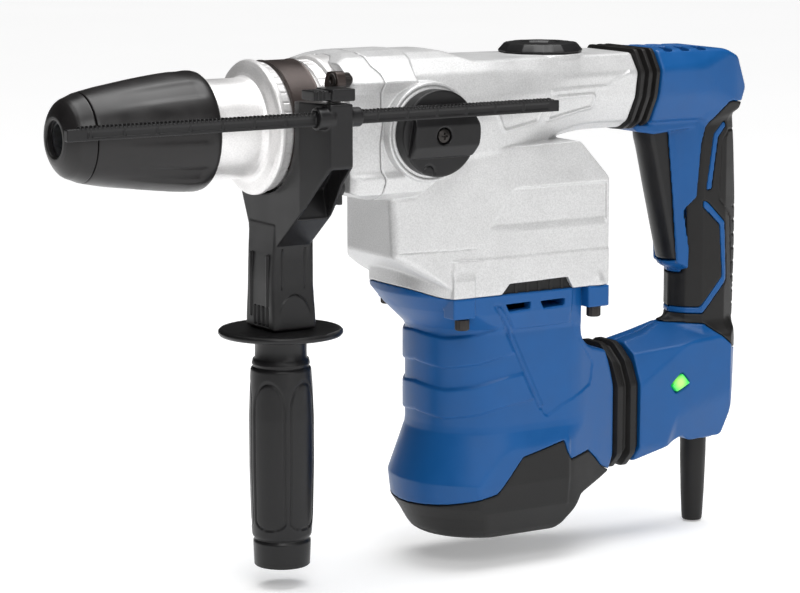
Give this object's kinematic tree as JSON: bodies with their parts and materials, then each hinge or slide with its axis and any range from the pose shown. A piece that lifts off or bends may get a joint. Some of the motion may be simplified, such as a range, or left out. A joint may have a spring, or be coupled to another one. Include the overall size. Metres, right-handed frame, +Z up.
{
  "type": "electric jackhammer",
  "caption": "Electric combination hammer with an upright motor, sprung D-handle, swivelling side handle, depth rod and push-back tool chuck.",
  "frame": {"origin": "middle of the underside of the bounding box, at the end of the cable boot, the lowest point", "axes": "+X along the tool axis from the chuck to the rear handle, +Y to the side away from the mode knob, +Z up"},
  "size_m": [0.5, 0.122, 0.3158],
  "materials": {
    "cast_aluminium": "shot-blasted casting, fine sparkle",
    "blue_plastic": "satin moulded",
    "black_plastic": "satin moulded",
    "base_plastic": "fine matt texture",
    "black_rubber": "soft matt",
    "machined_steel": "ground",
    "bearing_steel": "polished",
    "dark_steel": "black oxide, slightly brown",
    "core_steel": "varnished laminations",
    "winding_copper": "enamelled copper",
    "contact_brass": "stamped",
    "lens_green": "lit lens"
  },
  "bodies": {
    "main_body": {"gear_case": "cast_aluminium", "barrel_housing": "cast_aluminium", "motor_housing": "blue_plastic", "base_cap": "base_plastic", "grease_cap": "black_plastic", "bearing_plate": "cast_aluminium", "motor_screw_1": "dark_steel", "motor_screw_2": "dark_steel", "motor_screw_3": "dark_steel", "motor_screw_4": "dark_steel", "stator_core": "core_steel", "field_coil_front": "winding_copper", "field_coil_rear": "winding_copper", "brush_holder_left": "contact_brass", "brush_holder_right": "contact_brass", "armature_upper_bearing": "bearing_steel", "armature_lower_bearing": "bearing_steel", "crank_bearing": "bearing_steel", "spindle_front_bearing": "bearing_steel", "spindle_rear_bearing": "bearing_steel", "upper_bellows": "black_rubber", "lower_bellows": "black_rubber", "handle_spring": "bearing_steel"},
    "armature": {"armature_shaft": "machined_steel", "rotor_core": "core_steel", "commutator": "winding_copper", "cooling_fan": "black_plastic"},
    "crank": {"crankshaft": "machined_steel", "crank_gear": "machined_steel"},
    "intermediate": {"intermediate_gear": "machined_steel", "bevel_pinion": "machined_steel"},
    "spindle": {"tool_holder": "machined_steel", "hammer_cylinder": "machined_steel", "bevel_ring_gear": "machined_steel", "nose_cap": "black_rubber", "lock_roller_upper": "machined_steel", "lock_roller_lower": "machined_steel", "sleeve_spring": "bearing_steel"},
    "locking_sleeve": {"locking_sleeve": "black_rubber"},
    "piston": {"piston": "cast_aluminium", "wrist_pin": "machined_steel"},
    "connecting_rod": {"connecting_rod": "machined_steel"},
    "striker": {"striker": "machined_steel"},
    "anvil": {"anvil": "machined_steel"},
    "mode_selector": {"mode_knob": "black_plastic", "knob_screw": "dark_steel"},
    "rear_handle": {"handle_shell_left": "blue_plastic", "handle_shell_right": "blue_plastic", "handle_overmold": "black_rubber", "trigger_switch": "black_plastic", "status_lens": "lens_green", "cable_boot": "black_rubber"},
    "trigger": {"trigger": "black_plastic"},
    "side_handle": {"clamp_bracket": "black_plastic", "strap_band": "dark_steel", "clamp_bolt": "dark_steel"},
    "side_grip": {"side_grip": "black_plastic", "grip_stud": "machined_steel"},
    "depth_rod": {"depth_rod": "black_plastic"},
    "depth_lever": {"depth_lever": "black_plastic"}
  },
  "joints": [
    {"name": "armature_spin", "type": "hinge", "parent": "main_body", "child": "armature", "pos_m": [0.055, 0.011, 0.087], "axis": [0, 0, 1], "continuous": true},
    {"name": "crank_spin", "type": "hinge", "parent": "main_body", "child": "crank", "pos_m": [0.0895, 0.011, 0.212], "axis": [0, 0, 1], "continuous": true},
    {"name": "intermediate_spin", "type": "hinge", "parent": "main_body", "child": "intermediate", "pos_m": [0.025, 0.011, 0.212], "axis": [0, 0, 1], "continuous": true},
    {"name": "spindle_spin", "type": "hinge", "parent": "main_body", "child": "spindle", "pos_m": [-0.106, 0.011, 0.274], "axis": [1, 0, 0], "continuous": true},
    {"name": "sleeve_pull", "type": "slide", "parent": "spindle", "child": "locking_sleeve", "axis": [1, 0, 0], "range_m": [0, 0.008], "stiffness_N_per_m": 1500, "springref_m": -0.006, "deforming": ["sleeve_spring"]},
    {"name": "piston_stroke", "type": "slide", "parent": "main_body", "child": "piston", "axis": [-1, 0, 0], "range_m": [0, 0.026]},
    {"name": "rod_swing", "type": "hinge", "parent": "piston", "child": "connecting_rod", "pos_m": [0.0405, 0.011, 0.274], "axis": [0, 0, 1], "range_deg": [-12, 12]},
    {"name": "striker_flight", "type": "slide", "parent": "main_body", "child": "striker", "axis": [1, 0, 0], "range_m": [-0.015, 0.015]},
    {"name": "anvil_float", "type": "slide", "parent": "spindle", "child": "anvil", "axis": [1, 0, 0], "range_m": [-0.004, 0.004]},
    {"name": "mode_select", "type": "hinge", "parent": "main_body", "child": "mode_selector", "pos_m": [-0.007, -0.039, 0.27], "axis": [0, -1, 0], "range_deg": [0, 90]},
    {"name": "handle_damping", "type": "slide", "parent": "main_body", "child": "rear_handle", "axis": [-1, 0, 0], "range_m": [0, 0.006], "stiffness_N_per_m": 9000, "springref_m": -0.004, "deforming": ["upper_bellows", "lower_bellows", "handle_spring"]},
    {"name": "trigger_pull", "type": "hinge", "parent": "rear_handle", "child": "trigger", "pos_m": [0.198, 0.011, 0.253], "axis": [0, -1, 0], "range_deg": [0, 6], "stiffness_Nm_per_rad": 1.2, "springref_deg": -6.88},
    {"name": "side_handle_swivel", "type": "hinge", "parent": "main_body", "child": "side_handle", "pos_m": [-0.082, 0.011, 0.274], "axis": [-1, 0, 0], "range_deg": [0, 180]},
    {"name": "grip_turn", "type": "hinge", "parent": "side_handle", "child": "side_grip", "pos_m": [-0.082, 0.011, 0.082], "axis": [0, 0, 1], "range_deg": [0, 360]},
    {"name": "depth_rod_slide", "type": "slide", "parent": "side_handle", "child": "depth_rod", "axis": [1, 0, 0], "range_m": [-0.13, 0.1]},
    {"name": "depth_release", "type": "hinge", "parent": "side_handle", "child": "depth_lever", "pos_m": [-0.079, -0.047, 0.296], "axis": [0, -1, 0], "range_deg": [0, 5], "stiffness_Nm_per_rad": 0.05, "springref_deg": -5.73}
  ],
  "couplings": [
    {"joint": "crank_spin", "follows": "armature_spin", "ratio": -0.27778},
    {"joint": "intermediate_spin", "follows": "armature_spin", "ratio": -0.33333},
    {"joint": "spindle_spin", "follows": "armature_spin", "ratio": 0.1}
  ]
}
